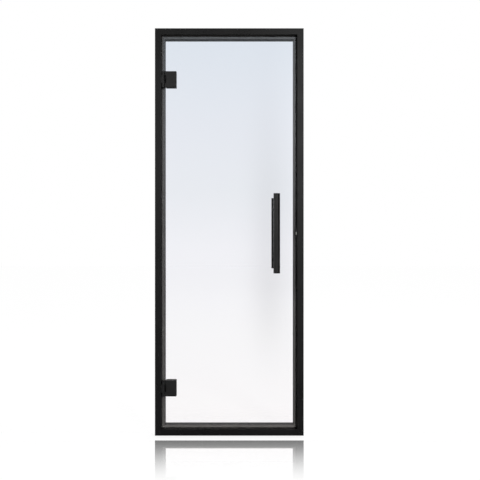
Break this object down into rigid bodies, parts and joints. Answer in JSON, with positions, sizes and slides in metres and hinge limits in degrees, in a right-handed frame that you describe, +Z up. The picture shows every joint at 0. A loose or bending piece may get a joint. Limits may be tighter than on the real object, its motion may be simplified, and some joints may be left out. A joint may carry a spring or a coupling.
{
  "type": "framed glass door",
  "caption": "Single clear glass door leaf in a black mitred frame on all four sides, with clamp hinges, round bar pulls and a sprung roller catch.",
  "frame": {"origin": "middle of the sill's underside, in the mid-plane of the glass leaf", "axes": "+Z up, +X to the right as seen from the outside with the hinges on the left, +Y towards the inside of the room that the door closes"},
  "size_m": [0.69, 0.168, 1.89],
  "materials": {
    "black_powder_coat": "satin, fine-textured black powder coat on aluminium",
    "grey_seal": "matt silicone",
    "raw_aluminium": "mill finish",
    "clear_glass": "clear toughened, polished edges",
    "black_hinge": "satin black",
    "black_handle": "satin black",
    "black_rubber": "matt",
    "black_plastic": "matt",
    "white_plastic": "natural nylon",
    "black_fastener": "black oxide",
    "steel": "bright"
  },
  "bodies": {
    "frame": {"frame_jamb_hinge_side": "black_powder_coat", "frame_jamb_latch_side": "black_powder_coat", "frame_sill": "black_powder_coat", "frame_head": "black_powder_coat", "seal_jamb_hinge_side": "grey_seal", "seal_jamb_latch_side": "grey_seal", "seal_sill": "grey_seal", "seal_head": "grey_seal", "corner_cleat_lower_left": "raw_aluminium", "corner_cleat_lower_right": "raw_aluminium", "corner_cleat_upper_left": "raw_aluminium", "corner_cleat_upper_right": "raw_aluminium", "corner_cleat_screws": "black_fastener", "upper_hinge_bracket": "black_hinge", "upper_hinge_bracket_screws": "black_fastener", "upper_hinge_backing_plate": "steel", "upper_hinge_pin": "steel", "lower_hinge_bracket": "black_hinge", "lower_hinge_bracket_screws": "black_fastener", "lower_hinge_backing_plate": "steel", "lower_hinge_pin": "steel", "catch_housing": "black_fastener", "catch_screws": "black_fastener", "catch_spring": "steel"},
    "leaf": {"leaf_glass": "clear_glass", "upper_hinge_front_plate": "black_hinge", "upper_hinge_back_plate": "black_hinge", "upper_hinge_gaskets": "black_rubber", "upper_hinge_sleeves": "white_plastic", "upper_hinge_clamp_screws": "black_fastener", "upper_hinge_bushes": "black_plastic", "lower_hinge_front_plate": "black_hinge", "lower_hinge_back_plate": "black_hinge", "lower_hinge_gaskets": "black_rubber", "lower_hinge_sleeves": "white_plastic", "lower_hinge_clamp_screws": "black_fastener", "lower_hinge_bushes": "black_plastic", "outer_pull": "black_handle", "inner_pull": "black_handle", "pull_rosettes": "black_handle", "pull_end_caps": "black_handle", "pull_washers": "black_rubber", "pull_sleeves": "white_plastic", "pull_studs": "steel", "pull_grub_screws": "black_fastener"},
    "catch_plunger_body": {"catch_plunger": "black_plastic", "catch_axle": "steel"},
    "catch_roller_body": {"catch_roller": "white_plastic"}
  },
  "joints": [
    {"name": "leaf_swing", "type": "hinge", "parent": "frame", "child": "leaf", "pos_m": [-0.306, -0.012, 0], "axis": [0, 0, -1], "range_deg": [0, 120]},
    {"name": "catch_press", "type": "slide", "parent": "frame", "child": "catch_plunger_body", "axis": [1, 0, 0], "range_m": [0, 0.004], "stiffness_N_per_m": 2000, "springref_m": -0.002, "deforming": ["catch_spring"]},
    {"name": "catch_roller_spin", "type": "hinge", "parent": "catch_plunger_body", "child": "catch_roller_body", "pos_m": [0.3138, -0.0068, 0.939], "axis": [0, 0, 1], "continuous": true}
  ]
}
